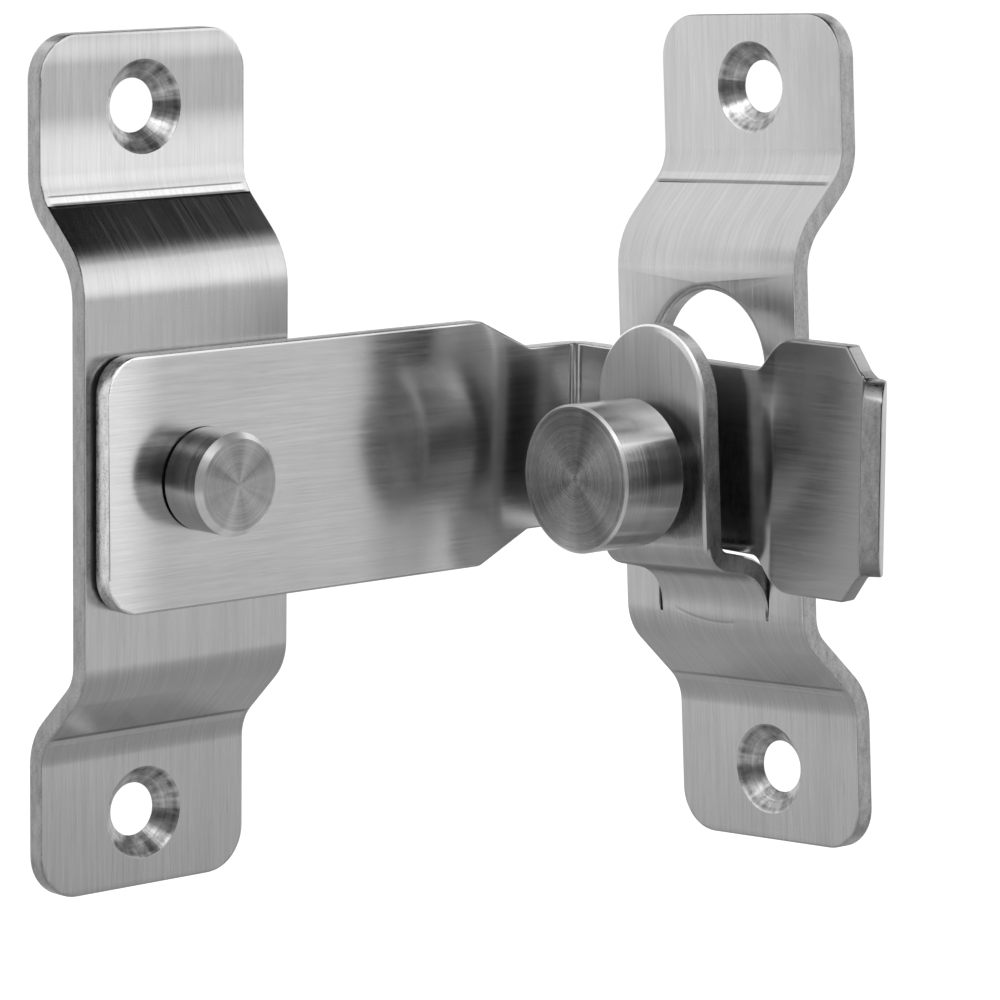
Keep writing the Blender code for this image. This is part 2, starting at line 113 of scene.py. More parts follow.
def brushed_grain():
    """Belt-brushed grain: streaks along one direction, as tone, roughness and height."""
    tree, sh, given, out = group(
        "brushed grain",
        [("Across", "Float"), ("Along", "Float"), ("Contrast", "Float")],
        [("Tone", "Float"), ("Rough", "Float"), ("Height", "Float")])

    def streaks(length, scale, detail, shift):
        place = sh.node("CombineXYZ")
        sh.put(place.inputs[0], sh.math("ADD", given["Across"], shift))
        sh.put(place.inputs[1], sh.math("MULTIPLY", given["Along"], length))
        return sh.noise(place.outputs[0], scale, detail, 0.62)

    fine = streaks(length=0.030, scale=5200.0, detail=2.0, shift=0.0)
    middle = streaks(length=0.020, scale=1700.0, detail=3.0, shift=0.37)
    broad = streaks(length=0.045, scale=420.0, detail=2.0, shift=0.81)
    # single deeper scratches, short and far apart
    cut = streaks(length=0.060, scale=3300.0, detail=1.0, shift=1.93)
    scratch = sh.ramp(cut, 0.68, 0.80)
    streak = sh.math("ADD", sh.math("MULTIPLY", fine, 0.40),
                     sh.math("ADD", sh.math("MULTIPLY", middle, 0.40),
                             sh.math("MULTIPLY", broad, 0.20)))
    centred = sh.math("SUBTRACT", streak, 0.5)
    plain = sh.math("MULTIPLY_ADD", centred, given["Contrast"], 1.0)
    sh.put(out["Tone"], sh.math("SUBTRACT", plain, sh.math("MULTIPLY", scratch, 0.12)))
    sh.put(out["Rough"], sh.math("MULTIPLY", centred, 0.22))
    sh.put(out["Height"], sh.math("SUBTRACT", streak, sh.math("MULTIPLY", scratch, 0.25)))
    return tree


def handling_wear():
    """Slow cloudiness and a few short rub marks left by handling."""
    tree, sh, given, out = group(
        "handling wear", [("Place", "Vector"), ("Amount", "Float")],
        [("Tone", "Float"), ("Rough", "Float")])
    cloud = sh.noise(given["Place"], scale=55.0, detail=3.0, roughness=0.55, distortion=0.3)
    blotch = sh.noise(sh.vector("MULTIPLY", given["Place"], (1.0, 1.0, 0.6)), 190.0, 4.0, 0.6)
    both = sh.math("SUBTRACT", sh.math("MULTIPLY_ADD", cloud, 0.6,
                                       sh.math("MULTIPLY", blotch, 0.4)), 0.5)
    scaled = sh.math("MULTIPLY", both, given["Amount"])
    sh.put(out["Tone"], sh.math("ADD", scaled, 1.0))
    sh.put(out["Rough"], sh.math("MULTIPLY", scaled, -0.6))
    return tree


def sheared_edge():
    """Torn, frosted face that a shear leaves on the edge of sheet."""
    tree, sh, given, out = group(
        "sheared edge", [("Place", "Vector"), ("Amount", "Float")],
        [("Tone", "Float"), ("Rough", "Float"), ("Height", "Float")])
    grit = sh.noise(given["Place"], scale=3400.0, detail=3.0, roughness=0.7)
    tear = sh.noise(sh.vector("MULTIPLY", given["Place"], (1.0, 1.0, 0.35)), 1300.0, 3.0, 0.6)
    both = sh.math("MULTIPLY_ADD", grit, 0.5, sh.math("MULTIPLY", tear, 0.5))
    spread = sh.math("MULTIPLY", sh.math("SUBTRACT", both, 0.5), given["Amount"])
    sh.put(out["Tone"], sh.math("ADD", spread, 1.0))
    sh.put(out["Rough"], sh.math("MULTIPLY", spread, 0.35))
    sh.put(out["Height"], both)
    return tree


def turned_rings():
    """Facing marks of a lathe tool: fine rings about the axis."""
    tree, sh, given, out = group(
        "turned rings", [("Radius", "Float"), ("Depth", "Float"), ("Turn", "Vector"),
                         ("Contrast", "Float")],
        [("Tone", "Float"), ("Rough", "Float"), ("Height", "Float")])
    place = sh.node("CombineXYZ")
    sh.put(place.inputs[0], given["Radius"])
    sh.put(place.inputs[1], given["Depth"])
    fine = sh.noise(place.outputs[0], scale=4200.0, detail=2.0, roughness=0.7)
    broad = sh.noise(place.outputs[0], scale=1100.0, detail=2.0, roughness=0.6)
    rings = sh.math("MULTIPLY_ADD", fine, 0.55, sh.math("MULTIPLY", broad, 0.45))
    centred = sh.math("SUBTRACT", rings, 0.5)
    # painted light: slow lighter and darker sectors round the axis stand in for the conic
    # highlights of the turned faces
    sector = sh.math("SUBTRACT", sh.noise(given["Turn"], 1.3, 2.0, 0.5), 0.5)
    tone = sh.math("MULTIPLY_ADD", centred, given["Contrast"], 1.0)
    sh.put(out["Tone"], sh.math("MULTIPLY_ADD", sector, 1.9, tone))
    sh.put(out["Rough"], sh.math("MULTIPLY", centred, 0.30))
    sh.put(out["Height"], rings)
    return tree


def countersink():
    """Cone cut by a sink tool: where it is, with its rings and radial chatter."""
    tree, sh, given, out = group(
        "countersink", [("Across", "Float"), ("Up", "Float"), ("Reach", "Float")],
        [("Mask", "Float"), ("Tone", "Float"), ("Height", "Float")])
    place = sh.node("CombineXYZ")
    sh.put(place.inputs[0], given["Across"])
    sh.put(place.inputs[1], given["Up"])
    radius = sh.vector("LENGTH", place.outputs[0])
    sh.put(out["Mask"], sh.ramp(radius, sh.math("ADD", given["Reach"], 0.02 * MM),
                                sh.math("SUBTRACT", given["Reach"], 0.04 * MM)))
    ring = sh.node("CombineXYZ")
    sh.put(ring.inputs[0], radius)
    rings = sh.noise(ring.outputs[0], scale=2100.0, detail=2.0, roughness=0.6)
    unit = sh.vector("NORMALIZE", place.outputs[0])
    chatter = sh.noise(unit, scale=4.5, detail=3.0, roughness=0.65)
    coarse = sh.noise(place.outputs[0], scale=900.0, detail=3.0, roughness=0.6)
    both = sh.math("MULTIPLY_ADD", rings, 0.58, sh.math("MULTIPLY", chatter, 0.42))
    uneven = sh.math("MULTIPLY_ADD", coarse, 0.35, sh.math("MULTIPLY", both, 0.65))
    sh.put(out["Tone"], sh.math("MULTIPLY_ADD", sh.math("SUBTRACT", uneven, 0.5), 4.6, 0.95))
    sh.put(out["Height"], sh.math("MULTIPLY", both, 2.5))
    return tree


def punch_mark():
    """Narrow ridge left by the punch's edge, with a groove beside it; the groove gets painted
    shade and the ridge a painted highlight.
    """
    tree, sh, given, out = group(
        "punch mark", [("Offset", "Float"), ("Along", "Float"), ("Half", "Float")],
        [("Tone", "Float"), ("Height", "Float")])
    inside = sh.ramp(sh.math("ABSOLUTE", given["Along"]), given["Half"],
                     sh.math("SUBTRACT", given["Half"], 1.2 * MM))
    ridge = sh.ramp(sh.math("ABSOLUTE", given["Offset"]), 0.52 * MM, 0.22 * MM)
    groove = sh.ramp(sh.math("ABSOLUTE", sh.math("ADD", given["Offset"], 0.62 * MM)),
                     0.26 * MM, 0.08 * MM)
    lift = sh.math("SUBTRACT", ridge, sh.math("MULTIPLY", groove, 0.9))
    sh.put(out["Height"], sh.math("MULTIPLY", lift, inside))
    # painted shade in the groove, painted highlight on the ridge
    dark = sh.math("MULTIPLY", groove, inside)
    pale = sh.math("MULTIPLY_ADD", sh.math("MULTIPLY", ridge, inside), 0.22, 1.0)
    sh.put(out["Tone"], sh.math("MULTIPLY_ADD", dark, -0.85, pale))
    return tree


GRAIN = brushed_grain()
WEAR = handling_wear()
SHEAR = sheared_edge()
RINGS = turned_rings()
SINK = countersink()
MARK = punch_mark()


def use(sh, tree, **values):
    """Place a node group in a material, with its own values."""
    made = sh.node("Group", node_tree=tree)
    for label, value in values.items():
        sh.put(made.inputs[label], value)
    return made.outputs


PRESS_DEPTH = 0.03 * MM          # what one step of height stands for
SMOOTHEST = 0.08                 # roughness that no part of the metal goes below
GRAIN_HEIGHT = 0.16              # of one step, for the brushed grain
RING_HEIGHT = 0.22               # the same for the turned rings
TORN = 2.2                       # how uneven the sheared rims are
UPWARD = (0.0, 0.0, 1.0)


def steps(depth):
    """A depth in metres, counted in steps of height."""
    return depth / PRESS_DEPTH


def start_material(name, colour, roughness, anisotropy):
    """Bare metal, with the object's own coordinates and normal to finish it by."""
    material = bpy.data.materials.new(name)
    material.use_nodes = True
    tree = material.node_tree
    shader = tree.nodes["Principled BSDF"]
    shader.inputs["Base Color"].default_value = (*colour, 1.0)
    shader.inputs["Metallic"].default_value = 1.0
    shader.inputs["Roughness"].default_value = roughness
    shader.inputs["Anisotropic"].default_value = anisotropy
    sh = Shader(tree)
    coords = sh.node("TexCoord")
    return material, sh, shader, coords.outputs["Object"], coords.outputs["Normal"]


def spread_direction(sh, shader, direction):
    """The direction in which the grain smears a reflection, across its streaks."""
    turn = sh.node("VectorTransform", vector_type="VECTOR",
                   convert_from="OBJECT", convert_to="WORLD")
    sh.put(turn.inputs[0], direction)
    sh.put(shader.inputs["Tangent"], turn.outputs[0])


def finish_metal(sh, shader, colour, roughness, tones, roughs, height):
    """Multiply the tones into the colour, add up the roughness, and press the height."""
    tone = tones[0]
    for other in tones[1:]:
        tone = sh.math("MULTIPLY", tone, other)
    shade = sh.node("CombineColor")
    for channel in range(3):
        sh.put(shade.inputs[channel], sh.math("MULTIPLY", tone, colour[channel]))
    sh.put(shader.inputs["Base Color"], shade.outputs[0])
    rough = roughness
    for other in roughs:
        rough = sh.math("ADD", rough, other)
    sh.put(shader.inputs["Roughness"], sh.math("MAXIMUM", rough, SMOOTHEST))
    bump = sh.node("Bump")
    bump.inputs["Strength"].default_value = 1.0
    bump.inputs["Distance"].default_value = PRESS_DEPTH
    sh.put(bump.inputs["Height"], height)
    sh.put(shader.inputs["Normal"], bump.outputs[0])


def blend_by(sh, mask, a, b):
    """a where mask is 0, b where it is 1."""
    return sh.math("MULTIPLY_ADD", mask, sh.math("SUBTRACT", b, a), a)


# Strap brackets, measured from the middle of each
HOLE_LEVEL = 41.3 * MM           # the two screw holes, above and below it
SINK_REACH = 5.5 * MM
RIM_TONE = 0.68                  # sheared rim, against the brushed faces
RIM_ROUGH = 0.16
SLOPE_POLISH = -0.07             # slopes that look up, rubbed smooth by the press
SINK_ROUGH = 0.08
CREASE_HALF = 14.9 * MM          # half the length of the line in a crease
MARK_STEPS = 2.2
CREASE_CURL = (41.2 * MM, 30.2 * MM)     # upper ear, from its holes to its crease
CREASE_RISE = 1.1 * MM
END_CURL = (50.5 * MM, 46.3 * MM)        # and at its end
END_RISE = 0.24 * MM
SHARP_LEAD = 1.0 * MM            # the crease is pressed sharp from here above it
SHARP_REACH = 1.6 * MM
SHARP_DEPTH = -0.48 * MM
# how far a face has to look out, sideways or up to count, as cosines
LOOKS_SIDEWAYS = (0.62, 0.88)
LOOKS_UP_OR_DOWN = (0.80, 0.93)
SLOPE_LOOKS_UP = (0.45, 0.65)
CONE_BELOW = (0.97, 0.85)
CONE_ABOVE = (0.2, 0.4)
LOOKS_OUT = (0.2, 0.5)

# Tongue: levels and distances from the keeper's middle
# painted light on the tongue: painted shade at its root, a painted highlight towards its tip
TIP_HIGHLIGHT_REACH = (-14.0 * MM, 6.0 * MM)
ROOT_SHADE = 0.84
TIP_HIGHLIGHT = 0.82                  # added to the root's tone at its tip
TIP_DULL = (0.0, 8.0 * MM, 0.02, 0.24)   # levels, then the roughness added at them
# painted reflection of the knob: a darker ring on the tongue round it
KNOB_MIRROR_RING = (8.4 * MM, 7.4 * MM)
KNOB_MIRROR_TONE = -0.6
ROUND_LEVEL = 5.2 * MM           # where its round end has its centre
ROLL_REACH = (8.0 * MM, 9.0 * MM)
ROLL_DEPTH = -0.26 * MM
ROLL_SIDE = (0.0, 5.0 * MM)


def curl_ear(sh, up, dished, crease, height):
    """The upper ear curls at its end and before its crease, which is pressed sharp."""
    curl = sh.math("MULTIPLY", sh.ramp(up, *CREASE_CURL), steps(CREASE_RISE))
    curl = sh.math("MULTIPLY_ADD", sh.ramp(up, *END_CURL), steps(END_RISE), curl)
    height = sh.math("MULTIPLY_ADD", curl, dished, height)
    near = sh.math("DIVIDE", sh.math("SUBTRACT", crease + SHARP_LEAD, up), SHARP_REACH,
                   clamp=True)
    press = sh.math("MULTIPLY", sh.math("MULTIPLY", near, near), steps(SHARP_DEPTH))
    return sh.math("MULTIPLY_ADD", press, dished, height)


def scuff_arc(sh, side, up, arc):
    """Arc scuffed under the tongue, as a line for the punch mark to follow."""
    (mid_side, mid_up), (wide, deep), start, half, strength = arc
    along = sh.math("SUBTRACT", side, mid_side)
    drop = sh.math("MINIMUM", sh.math("SUBTRACT", up, mid_up), 0.0)
    reach = sh.math("SQRT", sh.math(
        "ADD", sh.math("POWER", sh.math("ABSOLUTE", sh.math("DIVIDE", along, wide)), 2.0),
        sh.math("POWER", sh.math("ABSOLUTE", sh.math("DIVIDE", drop, deep)), 2.0)))
    offset = sh.math("MULTIPLY", sh.math("SUBTRACT", reach, 1.0), deep)
    return offset, sh.math("SUBTRACT", along, start), half, strength


def draw_tongue(sh, place, outward, side, up, drawn, outside, tone, rough, height):
    """Steel drawn out of the sheet: duller towards the tongue's tip, with painted shade at its
    root and a painted highlight at its tip.
    """
    out = sh.ramp(sh.vector("DOT_PRODUCT", place, outward), *drawn)
    # painted light along the tongue: painted shade at its root, painted highlight towards its
    # tip
    tip = sh.math("MULTIPLY_ADD", sh.ramp(up, *TIP_HIGHLIGHT_REACH), TIP_HIGHLIGHT, ROOT_SHADE)
    tone = sh.math("MULTIPLY", tone, blend_by(sh, out, 1.0, tip))
    rough = sh.math("MULTIPLY_ADD", out, sh.ramp(up, *TIP_DULL), rough)
    # painted reflection: a darker ring round the knob stands in for its mirror image in the
    # tongue
    from_knob = sh.vector("MULTIPLY", sh.vector("SUBTRACT", place, tuple(KNOB_AXIS)),
                          (0.0, 1.0, 1.0))
    knob_mirror = sh.math("MULTIPLY", sh.ramp(sh.vector("LENGTH", from_knob), *KNOB_MIRROR_RING), out)
    tone = sh.math("MULTIPLY", tone, sh.math(
        "MULTIPLY_ADD", sh.math("MULTIPLY", knob_mirror, outside), KNOB_MIRROR_TONE, 1.0))
    # its outline rolls over on one side, where the die sheared it
    past = sh.math("MAXIMUM", sh.math("SUBTRACT", up, ROUND_LEVEL), 0.0)
    from_line = sh.math("SQRT", sh.math("ADD", sh.math("MULTIPLY", side, side),
                                        sh.math("MULTIPLY", past, past)))
    roll = sh.math("MULTIPLY", sh.ramp(from_line, *ROLL_REACH), steps(ROLL_DEPTH))
    sided = sh.math("MULTIPLY", sh.ramp(side, *ROLL_SIDE),
                    sh.math("MULTIPLY", out, outside))
    return tone, rough, sh.math("MULTIPLY_ADD", roll, sided, height)


def strap_steel(name, colour, roughness, across, outward, spread, contrast, middle,
                creases, arc=None, drawn=None, dish=0.0):
    """Strap bracket: brushed along its height, with sheared edges and punch marks.

    creases: (level, strength) of each line; arc: ((side, level) of its middle,
    (half width, depth), where it starts, half its length, strength); drawn: the two
    distances in front between which the sheet turns into the tongue; dish: how much the
    upper ear curls.
    """
    material, sh, shader, place, normal = start_material(name, colour, roughness, 0.72)
    from_middle = sh.vector("SUBTRACT", place, middle)
    side = sh.vector("DOT_PRODUCT", from_middle, across)
    up = sh.vector("DOT_PRODUCT", from_middle, tuple(Vector(outward).cross(Vector(across))))
    grain = use(sh, GRAIN, Across=side, Along=up, Contrast=contrast)
    wear = use(sh, WEAR, Place=place, Amount=0.20)
    torn = use(sh, SHEAR, Place=place, Amount=TORN)
    # the faces of the sheet look out and back, its sheared rim looks sideways or up
    facing = sh.math("ABSOLUTE", sh.vector("DOT_PRODUCT", normal, across))
    front = sh.vector("DOT_PRODUCT", normal, outward)
    top = sh.vector("DOT_PRODUCT", normal, UPWARD)
    level = sh.ramp(sh.math("ABSOLUTE", top), *LOOKS_UP_OR_DOWN)
    edge = sh.math("MAXIMUM", sh.ramp(facing, *LOOKS_SIDEWAYS), level)
    tone = blend_by(sh, edge, grain["Tone"], sh.math("MULTIPLY", torn["Tone"], RIM_TONE))
    rough = blend_by(sh, edge, grain["Rough"], sh.math("ADD", torn["Rough"], RIM_ROUGH))
    # the press polished the slopes that look up
    rough = sh.math("MULTIPLY_ADD", sh.ramp(top, *SLOPE_LOOKS_UP), SLOPE_POLISH, rough)
    height = blend_by(sh, edge, sh.math("MULTIPLY", grain["Height"], GRAIN_HEIGHT),
                      torn["Height"])
    # cones of the two screw holes
    cone = sh.math("MULTIPLY", sh.ramp(front, *CONE_BELOW), sh.ramp(front, *CONE_ABOVE))
    for sign in (1.0, -1.0):
        reach = sh.math("SUBTRACT", up, sign * HOLE_LEVEL)
        sink = use(sh, SINK, Across=side, Up=reach, Reach=SINK_REACH)
        inside = sh.math("MULTIPLY", sink["Mask"], cone)
        tone = blend_by(sh, inside, tone, sink["Tone"])
        height = blend_by(sh, inside, height, sink["Height"])
        rough = sh.math("MULTIPLY_ADD", inside, SINK_ROUGH, rough)
    # lines that the punch pressed into the creases, on the front only, with painted shade in
    # their grooves and painted highlights on their ridges
    outside = sh.ramp(front, *LOOKS_OUT)
    if dish:
        height = curl_ear(sh, up, sh.math("MULTIPLY", outside, dish), creases[0][0], height)
    lines = [(sh.math("MULTIPLY", sh.math("SUBTRACT", up, crease),
                      math.copysign(1.0, crease)), side, CREASE_HALF, strength)
             for crease, strength in creases]
    if arc is not None:
        lines.append(scuff_arc(sh, side, up, arc))
    for offset, along, half, strength in lines:
        mark = use(sh, MARK, Offset=offset, Along=along, Half=half)
        shown = sh.math("MULTIPLY", outside, strength)
        tone = sh.math("MULTIPLY", tone, blend_by(sh, shown, 1.0, mark["Tone"]))
        height = sh.math("MULTIPLY_ADD", mark["Height"],
                         sh.math("MULTIPLY", shown, MARK_STEPS), height)
    if drawn is not None:
        tone, rough, height = draw_tongue(sh, place, outward, side, up, drawn, outside,
                                          tone, rough, height)
    spread_direction(sh, shader, spread)
    finish_metal(sh, shader, colour, roughness, [tone, wear["Tone"]],
                 [rough, wear["Rough"]], height)
    return material


# Latch arm: all levels along X from the pivot, or along Y out of the bracket
ARM_RIM_ROUGH = 0.14
TAIL_REACH = (4.6 * MM, 4.0 * MM)        # sheared end at the pivot
LIP_REACH = (3.4 * MM, 3.0 * MM)         # sheared end of the lip
LIP_ROUGH = 0.30
LIP_TONE = 0.55
ARM_RIM_TONE = 0.80
ARM_TONE = 1.05
# painted reflection along the arm: painted highlight round the pivot, painted shade past the
# taper, painted highlight at the fold
PIVOT_HIGHLIGHT_REACH = (-5.0 * MM, -13.0 * MM)      # brighter round the pivot
PIVOT_HIGHLIGHT = 0.54
TAPER_SHADE_REACH = (23.0 * MM, 29.0 * MM)
TAPER_SHADE = 0.22
FOLD_HIGHLIGHT_REACH = (32.0 * MM, 39.0 * MM)
FOLD_HIGHLIGHT_FRONT = (-27.0 * MM, -21.0 * MM)
FOLD_HIGHLIGHT = 0.45
BOW_REACH = (4.0 * MM, 47.0 * MM)
BOW_RISE = 2.2 * MM
# painted shade on the tab, darker towards its tip
TAB_SHADE_REACH = (-44.0 * MM, -60.0 * MM)
TAB_SHADE = -0.26
ARM_LEVEL = (0.55, 0.8)
TAIL_LOOK = (-0.4, -0.6)
LIP_LOOK = (-0.66, -0.74)


def sheared_end(sh, place, low, reach, look, toward):
    """Mask of the end of the sheet at its low side, where the face looks sideways."""
    start, end = reach
    return sh.math("MULTIPLY", sh.ramp(place, low + start, low + end),
                   sh.ramp(look, *toward))


def arm_steel(name, colour, roughness, contrast):
    """Brushed along the arm's length, round its fold, with sheared edges and ends."""
    material, sh, shader, place, normal = start_material(name, colour, roughness, 0.7)
    axes = sh.node("SeparateXYZ")
    sh.put(axes.inputs[0], place)
    x, y, z = axes.outputs
    grain = use(sh, GRAIN, Across=z, Along=sh.math("SUBTRACT", x, y), Contrast=contrast)
    wear = use(sh, WEAR, Place=place, Amount=0.22)
    torn = use(sh, SHEAR, Place=place, Amount=TORN)
    facing = sh.node("SeparateXYZ")
    sh.put(facing.inputs[0], normal)
    look_x, look_y, look_z = facing.outputs
    level = sh.ramp(sh.math("ABSOLUTE", look_z), *ARM_LEVEL)
    arm_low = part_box("latch_arm")[0]
    tail = sheared_end(sh, x, arm_low.x, TAIL_REACH, look_x, TAIL_LOOK)
    lip = sheared_end(sh, y, arm_low.y, LIP_REACH, look_x, LIP_LOOK)
    edge = sh.math("MAXIMUM", sh.math("MAXIMUM", level, tail), lip)
    worn = sh.math("MULTIPLY", torn["Tone"],
                   sh.math("MULTIPLY_ADD", lip, LIP_TONE, ARM_RIM_TONE))
    tone = blend_by(sh, edge, grain["Tone"], worn)
    rough = blend_by(sh, edge, grain["Rough"], sh.math("ADD", torn["Rough"], ARM_RIM_ROUGH))
    rough = sh.math("MULTIPLY_ADD", lip, LIP_ROUGH, rough)
    height = blend_by(sh, edge, sh.math("MULTIPLY", grain["Height"], GRAIN_HEIGHT),
                      torn["Height"])
    # painted reflection: painted highlight at the pivot, painted shade from there to the
    # taper, and painted highlight again at the fold; they stand in for part of what the real
    # arm mirrors
    pivot_highlight = sh.math("MULTIPLY_ADD", PIVOT_HIGHLIGHT, sh.ramp(x, *PIVOT_HIGHLIGHT_REACH), ARM_TONE)
    duller = sh.math("MULTIPLY", TAPER_SHADE, sh.ramp(x, *TAPER_SHADE_REACH))
    fold_highlight = sh.math("MULTIPLY", sh.ramp(x, *FOLD_HIGHLIGHT_REACH), sh.ramp(y, *FOLD_HIGHLIGHT_FRONT))
    shown = sh.math("MULTIPLY_ADD", fold_highlight, FOLD_HIGHLIGHT,
                    sh.math("SUBTRACT", pivot_highlight, duller))
    tone = sh.math("MULTIPLY", tone, shown)
    # the flat is not quite true: it leans out a little between pivot and taper
    bow = sh.math("MULTIPLY", sh.ramp(x, *BOW_REACH), steps(BOW_RISE))
    height = sh.math("ADD", height, bow)
    # painted shade: the tab is darker towards its tip
    tab_shade = sh.math("MULTIPLY_ADD", sh.ramp(y, *TAB_SHADE_REACH), TAB_SHADE, 1.0)
    tone = sh.math("MULTIPLY", tone, tab_shade)
    spread_direction(sh, shader, UPWARD)
    finish_metal(sh, shader, colour, roughness, [tone, wear["Tone"]],
                 [rough, wear["Rough"]], height)
    return material


# Turned pieces: their flat faces and the chamfers round them, as cosines to the axis
FACE_LOOK = (0.8, 0.9)
RIM_LOOK = (0.35, 0.55)
TURNED_RIM_TONE = 0.6
TURNED_RIM_ROUGH = 0.28
FACE_ROUGH = 0.05


def turned_steel(name, colour, roughness, axis, centre, contrast=0.3, face=1.0):
    """Turned bar: rings round its side and on its faces, with a brighter rim.

    axis: which of X, Y and Z it was turned about; face: tone of its flat faces, painted
    light: a painted highlight above 1, painted shade below 1.
    """
    material, sh, shader, place, normal = start_material(name, colour, roughness, 0.78)
    from_axis = sh.vector("SUBTRACT", place, tuple(centre))
    keep = tuple(0.0 if i == axis else 1.0 for i in range(3))
    radial = sh.vector("MULTIPLY", from_axis, keep)
    axes = sh.node("SeparateXYZ")
    sh.put(axes.inputs[0], place)
    unit = sh.vector("NORMALIZE", radial)
    rings = use(sh, RINGS, Radius=sh.vector("LENGTH", radial), Depth=axes.outputs[axis],
                Turn=unit, Contrast=contrast)
    wear = use(sh, WEAR, Place=place, Amount=0.16)
    outward = tuple(1.0 if i == axis else 0.0 for i in range(3))
    spread_direction(sh, shader, sh.vector("ADD", unit, outward))
    along = sh.math("ABSOLUTE", sh.vector("DOT_PRODUCT", normal, outward))
    flat = sh.ramp(along, *FACE_LOOK)
    rim = sh.math("SUBTRACT", sh.ramp(along, *RIM_LOOK), flat)
    # the face tone is painted light on the flat faces: a painted highlight on the knob,
    # painted shade on the pin
    faced = sh.math("MULTIPLY_ADD", flat, face - 1.0,
                    sh.math("MULTIPLY_ADD", rim, TURNED_RIM_TONE, 1.0))
    duller = sh.math("MULTIPLY_ADD", flat, FACE_ROUGH,
                     sh.math("MULTIPLY", rim, TURNED_RIM_ROUGH))
    finish_metal(sh, shader, colour, roughness, [rings["Tone"], wear["Tone"], faced],
                 [rings["Rough"], wear["Rough"], duller],
                 sh.math("MULTIPLY", rings["Height"], RING_HEIGHT))
    return material


CRISP_FROM = math.radians(40.0)          # bends are rounder than this, cut edges are not
WELD_REACH = 0.001 * MM


def soften(obj):
    """Round shading across the bends, with the cut edges left crisp."""
    mesh = obj.data
    loose = mesh.attributes.get("custom_normal")
    if loose is not None:
        mesh.attributes.remove(loose)
    mesh.polygons.foreach_set("use_smooth", [True] * len(mesh.polygons))
    mesh.edges.foreach_set("use_edge_sharp", [False] * len(mesh.edges))
    weld = obj.modifiers.new("Weld", "WELD")
    weld.merge_threshold = WELD_REACH
    split = obj.modifiers.new("Crisp edges", "EDGE_SPLIT")
    split.split_angle = CRISP_FROM
    split.use_edge_sharp = False
    even = obj.modifiers.new("Even faces", "WEIGHTED_NORMAL")
    even.keep_sharp = True


def dress(name, material):
    """Put the finish on a piece, and soften its bends."""
    obj = nodes[name]
    if not obj.material_slots:
        obj.data.materials.append(material)
    for slot in obj.material_slots:
        slot.material = material
    soften(obj)


STEEL = (0.57, 0.57, 0.57)
PIN_STEEL = (0.50, 0.50, 0.50)
KNOB_STEEL = (0.55, 0.55, 0.55)
STUD_STEEL = (0.45, 0.45, 0.45)
ALONG_X, ALONG_Y = 0, 1
# the keeper leans in its own plane, and its grain leans with it
LEAN = math.radians(3.6)
keeper_low, keeper_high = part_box("keeper_bracket")
KEEPER_MIDDLE = (0.0, (keeper_low.y + keeper_high.y) / 2, (keeper_low.z + keeper_high.z) / 2)

dress("arm_bracket", strap_steel(
    "brushed steel arm bracket", STEEL, roughness=0.24, across=(1.0, 0.0, 0.0),
    outward=(0.0, -1.0, 0.0), spread=(1.0, 0.0, 0.0), contrast=0.75,
    middle=(0.0, 0.0, 0.0), creases=((31.4 * MM, 0.8), (-31.3 * MM, 0.55)), dish=1.0))
dress("keeper_bracket", strap_steel(
    "brushed steel keeper", STEEL, roughness=0.25,
    across=(0.0, -math.cos(LEAN), math.sin(LEAN)), outward=(-1.0, 0.0, 0.0),
    spread=(0.0, 1.0, 0.0), contrast=0.85, middle=KEEPER_MIDDLE,
    creases=((30.7 * MM, 0.6), (-30.9 * MM, 0.4)),
    arc=((1.0 * MM, -14.7 * MM), (14.5 * MM, 8.2 * MM), -2.5 * MM, 5.5 * MM, 0.22),
    drawn=(-62.0 * MM, -57.0 * MM)))
dress("latch_arm", arm_steel("brushed steel arm", STEEL, roughness=0.19, contrast=0.65))
# the pin's flat faces carry painted shade and the knob's a painted highlight
dress("pivot_pin", turned_steel("turned steel pin", PIN_STEEL, 0.22, ALONG_Y, PIN_AXIS,
                                contrast=0.9, face=0.72))
dress("lock_knob", turned_steel("turned steel knob", KNOB_STEEL, 0.21, ALONG_X, KNOB_AXIS,
                                contrast=0.9, face=1.55))
dress("knob_stud", turned_steel("turned steel stud", STUD_STEEL, 0.3, ALONG_X, KNOB_AXIS))

# Camera fitted to the photo, in metres and pixels
CAMERA_PLACE = (-0.38869136, -0.48683214, 0.09365975)
CAMERA_LOOK = Vector((0.66803752, 0.72768987, -0.15554203))
CAMERA_UP = Vector((0.09760651, 0.12152984, 0.98777703))
FOCAL_PIXELS = 5413.8
PICTURE_PIXELS = 1000.0
SENSOR_WIDTH = 36.0


def place_camera():
    data = bpy.data.cameras.new("camera")
    data.sensor_width = SENSOR_WIDTH
    data.sensor_fit = "HORIZONTAL"
    data.lens = FOCAL_PIXELS / PICTURE_PIXELS * SENSOR_WIDTH
    data.clip_end = 20.0
    camera = bpy.data.objects.new("camera", data)
    scene.collection.objects.link(camera)
    forward = CAMERA_LOOK.normalized()
    right = forward.cross(CAMERA_UP).normalized()
    up = right.cross(forward)
    turn = Matrix((right, up, -forward)).transposed().to_4x4()
    camera.matrix_world = Matrix.Translation(CAMERA_PLACE) @ turn
    scene.camera = camera


LAMP_TARGET = Vector((0.03, -0.03, 0.0))


def flat_sheet(name, size):
    """Object with one square face, for a card or for the floor."""
    bm = bmesh.new()
    bmesh.ops.create_grid(bm, x_segments=1, y_segments=1, size=size)
    mesh = bpy.data.meshes.new(name)
    bm.to_mesh(mesh)
    bm.free()
    sheet = bpy.data.objects.new(name, mesh)
    scene.collection.objects.link(sheet)
    return sheet


